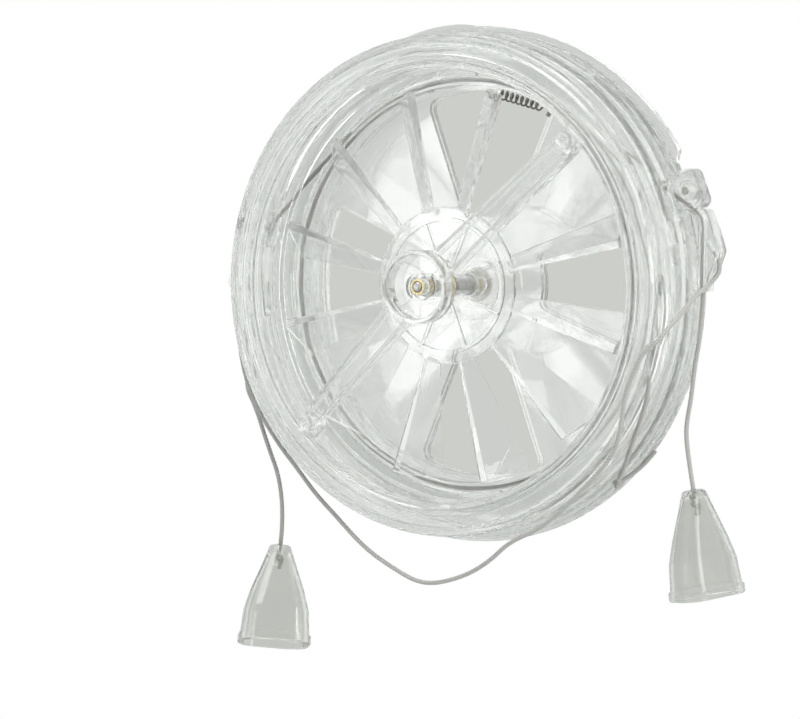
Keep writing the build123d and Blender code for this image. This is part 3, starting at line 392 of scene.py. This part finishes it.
def layCord(name, route, body, *nodes):
    # body is either one body's name, which the cord is attached to, or a tuple of two bodies with two points,
    # which is not read: such a cord is attached to no body and its transform is baked
    line = splineObject(name + "Line", route)
    points, length = linePoints(line)
    twist = line.modifiers.new("twist", "NODES")
    twist.node_group = cordNodes
    radius = cordSize["diameter"] / 2
    twist[cordKeys["Strand Radius"]] = radius * cordSize["strand share"]
    twist[cordKeys["Orbit"]] = radius * cordSize["orbit share"]
    for key in ("Lay", "Step", "Strands", "Sides"):
        twist[cordKeys[key]] = cordSize[key.lower()]
    twist[cordKeys["Material"]] = materials["cord"]
    depsgraph = bpy.context.evaluated_depsgraph_get()
    mesh = bpy.data.meshes.new_from_object(line.evaluated_get(depsgraph), depsgraph=depsgraph)
    bpy.data.objects.remove(line)
    mesh.name = name
    mesh.shade_smooth()
    piece = bpy.data.objects.new(name, mesh)
    collection.objects.link(piece)
    if isinstance(body, str):
        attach(piece, body)
    else:
        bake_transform(piece)
    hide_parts(*nodes)
    return piece, points, length


# Knots: an overhand knot is a trefoil cut open, which the cord enters at its start and leaves at its tail.
# Those in the pulls hang below the middle of the pull's top, in millimetres, along the pull's direction.
knots = {"points": 9, "cut from": 0.08, "cut over": 0.84, "reach": 3.0, "rise": 0.62, "pull size": 1.15,
         "anchor size": 1.3, "spring size": 0.8, "lead": 0.3, "drop": 5.3, "tail": 9.4}
leftTop, leftUp = Vector((-87.0, -17.0, -99.1)), Vector((-0.0713, 0.3161, 0.9460))
rightTop, rightUp = Vector((95.5, -14.8, -80.0)), Vector((-0.0612, -0.0370, 0.9974))
anchorCentre = (62.7, -12.0, -77.4)


def knotRoute(start, centre, tail, size):
    down = (Vector(tail) - Vector(start)).normalized()
    side = down.orthogonal().normalized()
    front = down.cross(side)
    route = [tuple(start)]
    for index in range(knots["points"]):
        turn = 2 * math.pi * (knots["cut from"] + knots["cut over"] * index / (knots["points"] - 1))
        across = side * (math.sin(turn) + 2 * math.sin(2 * turn))
        across += front * (math.cos(turn) - 2 * math.cos(2 * turn))
        bend = across / knots["reach"] - down * math.sin(3 * turn) * knots["rise"]
        route.append(tuple(Vector(centre) + bend * size))
    return route + [tuple(tail)]


def pullKnot(name, top, up, body, node):
    start, centre, tail = (top - up * knots[key] for key in ("lead", "drop", "tail"))
    route = knotRoute(start, centre, tail, knots["pull size"])
    return layCord(name, route, body, node)[0]


leftKnot = pullKnot("leftKnot", leftTop, leftUp, "left_pull", "left_knot")
rightKnot = pullKnot("rightKnot", rightTop, rightUp, "right_pull", "right_knot")
anchorKnotRoute = knotRoute((64.2, -13.4, -75.6), anchorCentre, (64.6, -10.4, -76.1), knots["anchor size"])
anchorKnot = layCord("anchorKnot", anchorKnotRoute, "frame", "anchor_knot")[0]
springKnotRoute = knotRoute((39.04, 1.0, 68.91), (36.67, 1.0, 64.73), (35.3, 1.0, 62.3), knots["spring size"])
layCord("springKnot", springKnotRoute, "shutter", "spring_cord")
# A pull cord's tuple names the frame above its first point and its pull below its second, the right one's
# from the wheel on, because it is drawn up.
# layCord does not read these tuples, so these cords follow no body.
leftFollows = ("frame", "left_pull", (-0.1004, -0.007, -0.0085), (-0.087, -0.017, -0.0991))
rightFollows = ("frame", "right_pull", (0.1004, -0.007, 0.013), (0.0955, -0.0148, -0.095))
layCord("leftCord", leftRoute, leftFollows, "left_lead_cord", "left_hanging_cord")
layCord("rightCord", rightRoute, rightFollows, "right_lead_cord", "right_hanging_cord")
layCord("slackCord", slackRoute, "frame", "slack_cord")
wholeAnchor = anchorRoute + [anchorCentre] + anchorTail
layCord("anchorCord", wholeAnchor, "frame", "anchor_cord", "anchor_tail")

drum = {"radius": 78.9, "depth": -5.0, "start": 56.47, "arc": 352.0, "points": 37}
drumTurns = [math.radians(drum["start"] - drum["arc"] * index / (drum["points"] - 1))
             for index in range(drum["points"])]
drumRoute = [(drum["radius"] * math.cos(turn), drum["depth"], drum["radius"] * math.sin(turn))
             for turn in drumTurns]
layCord("drumCord", drumRoute, "shutter", "drum_cord")
print("cords and knots laid")


# Smooth-shaded copies of the hard CAD nodes, so that curved walls refract as curves. Their surfaces lie
# inwards by the air gap, because touching pieces keep a film of air between them, as pressed plastic does.
smoothing = {"crease": 28.0, "weld": 1e-6, "air gap": 0.00002}


def smoothCopy(node):
    mesh = bpy.data.meshes.new(node + "Smooth")
    work = bmesh.new()
    work.from_mesh(frame["nodes"][node].data)
    bmesh.ops.remove_doubles(work, verts=work.verts, dist=smoothing["weld"])
    work.normal_update()
    for vert in work.verts:
        vert.co -= vert.normal * smoothing["air gap"]
    limit = math.radians(smoothing["crease"])
    for face in work.faces:
        face.smooth = True
    for edge in work.edges:
        edge.smooth = edge.is_manifold and edge.calc_face_angle(0.0) < limit
    work.to_mesh(mesh)
    work.free()
    mesh.materials.append(materials[lookOf[node]])
    piece = bpy.data.objects.new(node + "Clear", mesh)
    collection.objects.link(piece)
    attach(piece, bodyOf[node])
    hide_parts(node)


for node in sorted(frame["nodes"]):
    if slotOf[node] != "cord":
        smoothCopy(node)
print("hard pieces smoothed")

# Studio: to the camera a white surround with a grey card behind the open windows, to what is seen in or
# through the plastic a grey that brightens away from the object's back, and soft boxes
studio = {"card": (0.604, 0.617, 0.584, 1.0), "card centre": (0.0, 0.008, 0.0), "card size": (0.0590, 0.0688),
          "card edge": (0.96, 1.04), "card front": (0.5, 0.6), "white": (1.0, 1.0, 1.0, 1.0),
          "tint": (0.972, 1.0, 0.968, 1.0), "behind": 0.59, "around": 0.89, "rise eases": (0.12, 0.30),
          "reach eases": (0.14, 0.38), "more to right": 0.05, "less upwards": 0.06, "camera side": 0.92,
          "camera side eases": (0.80, 0.97), "soft light": 0.40}
world = bpy.data.worlds.new("studio")
world.use_nodes = True
world.node_tree.nodes.clear()
bpy.context.scene.world = world
air = Shader(world.node_tree)
direction = air.tone("ShaderNodeTexCoord", "Generated")
path = air.node("ShaderNodeLightPath")
isCamera, isGlossy, isThrough = (Tone(world.node_tree, path.outputs[name])
                                 for name in ("Is Camera Ray", "Is Glossy Ray", "Is Transmission Ray"))


def facing(way):
    return air.tone("ShaderNodeVectorMath", "Value", {"operation": "DOT_PRODUCT"}, i0=direction,
                    i1=tuple(way))


def ease(value, low, high):
    return air.tone("ShaderNodeMapRange", "Result", {"interpolation_type": "SMOOTHSTEP"}, Value=value,
                    From_Min=low, From_Max=high, To_Min=0.0, To_Max=1.0)


sideways = Vector((lookAlong.y, -lookAlong.x, 0.0)).normalized()
upwards = Vector((0.0, 0.0, 1.0))
toCard = (Vector(studio["card centre"]) - bpy.context.scene.camera.location).normalized()
wide = (facing(sideways) - sideways.dot(toCard)) / studio["card size"][0]
tall = (facing(upwards) - upwards.dot(toCard)) / studio["card size"][1]
offCard = ease(wide * wide + tall * tall, *studio["card edge"])
onCard = (1.0 - offCard) * ease(facing(lookAlong), *studio["card front"])
rise = facing(upwards).calc("ABSOLUTE")
reach = facing(sideways).calc("ABSOLUTE")
away = (ease(rise, *studio["rise eases"]) + ease(reach, *studio["reach eases"])).clamped()
glow = studio["behind"] + (studio["around"] - studio["behind"]) * away
glow = glow * (1.0 + facing(sideways) * studio["more to right"] - facing(upwards) * studio["less upwards"])
glow = glow - (glow - studio["camera side"]) * ease(facing(-lookAlong), *studio["camera side eases"])
shiny = (isGlossy + isThrough).clamped()
level = isCamera + (1.0 - isCamera) * (shiny * glow + (1.0 - shiny) * studio["soft light"])
colour = air.mixed(isCamera, studio["tint"], air.mixed(onCard, studio["white"], studio["card"]))
backdrop = air.node("ShaderNodeBackground", Color=colour, Strength=level)
surface(air, air.node("ShaderNodeOutputWorld"), backdrop)

lampAim = Vector((0.0, -0.02, -0.02))
lamps = {
    "topBox": {"place": (0.1, -0.4, 1.1), "size": (1.2, 0.9), "power": 9.0},
    "mirrorBox": {"place": (-0.62, -1.03, 0.05), "size": (0.18, 0.26), "power": 0.34},
    "rightBox": {"place": (1.3, -0.3, 0.4), "size": (0.5, 1.0), "power": 6.0},
}
for name, lamp in lamps.items():
    data = bpy.data.lights.new(name, "AREA")
    data.shape = "RECTANGLE"
    data.size, data.size_y = lamp["size"]
    data.energy = lamp["power"]
    box = bpy.data.objects.new(name, data)
    box.location = lamp["place"]
    box.rotation_mode = "QUATERNION"
    box.rotation_quaternion = (lampAim - box.location).to_track_quat("-Z", "Y")
    collection.objects.link(box)

floorSpec = {"height": -0.32, "radius": 0.9, "segments": 64, "pale": (0.86, 0.86, 0.85, 1.0),
             "speck": (0.84, 0.84, 0.83, 1.0), "speck scale": 30.0, "roughness": 0.8}
floorMesh = bpy.data.meshes.new("floor")
work = bmesh.new()
bmesh.ops.create_circle(work, cap_ends=True, segments=floorSpec["segments"], radius=floorSpec["radius"])
work.to_mesh(floorMesh)
work.free()
floorMesh.transform(Matrix.Translation((0.0, 0.0, floorSpec["height"])))
floorMaterial, shade, output = newMaterial("paleFloor")
place = shade.tone("ShaderNodeTexCoord", "Object")
speck = shade.tone("ShaderNodeTexNoise", "Fac", Vector=place, Scale=floorSpec["speck scale"], Detail=2.0)
colour = shade.mixed(speck, floorSpec["pale"], floorSpec["speck"])
matt = shade.node("ShaderNodeBsdfPrincipled", Base_Color=colour, Roughness=floorSpec["roughness"])
surface(shade, output, matt)
floorMesh.materials.append(floorMaterial)
floor = bpy.data.objects.new("floor", floorMesh)
collection.objects.link(floor)

scene = bpy.context.scene
scene.view_settings.view_transform = "Standard"
clearBounces = 64  # a ray crosses dozens of clear walls
scene.cycles.max_bounces = clearBounces
scene.cycles.transmission_bounces = clearBounces
scene.cycles.transparent_max_bounces = clearBounces
scene.cycles.glossy_bounces = clearBounces
scene.cycles.diffuse_bounces = 4
scene.cycles.caustics_reflective = False
scene.cycles.caustics_refractive = True
print("studio set")
